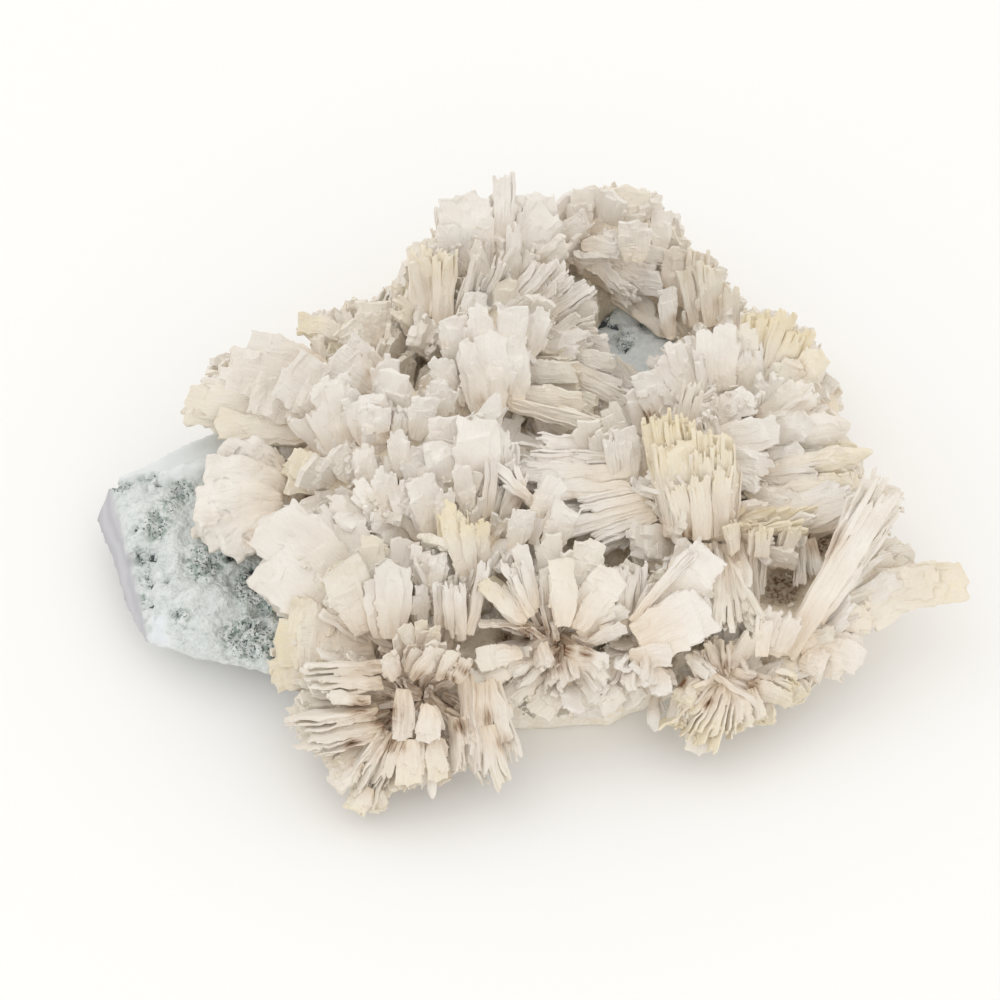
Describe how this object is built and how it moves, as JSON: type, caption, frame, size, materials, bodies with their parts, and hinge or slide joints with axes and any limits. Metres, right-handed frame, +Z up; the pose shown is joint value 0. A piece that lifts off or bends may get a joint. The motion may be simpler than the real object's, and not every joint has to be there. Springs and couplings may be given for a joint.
{
  "type": "quartz pseudomorph specimen",
  "caption": "Mineral specimen: cream-white sprays of bladed quartz after anhydrite on a broken plate of blue-green chalcedony.",
  "frame": {"origin": "a point on the flat underside of the chalcedony plate, under the middle of the specimen", "axes": "+Z up, square to the flat underside; +X along the longest way, from the bare end of the plate to the far fingers; -Y towards the show side"},
  "size_m": [0.1965, 0.1667, 0.0552],
  "materials": {
    "chalcedony": "matte to waxy",
    "bladed_quartz": "matte, sugary",
    "outlying_quartz": "matte, sugary"
  },
  "bodies": {
    "root": {"chalcedony_matrix": "chalcedony", "quartz_blade_crust": "bladed_quartz", "outlying_blade_spray": "outlying_quartz"}
  },
  "joints": []
}
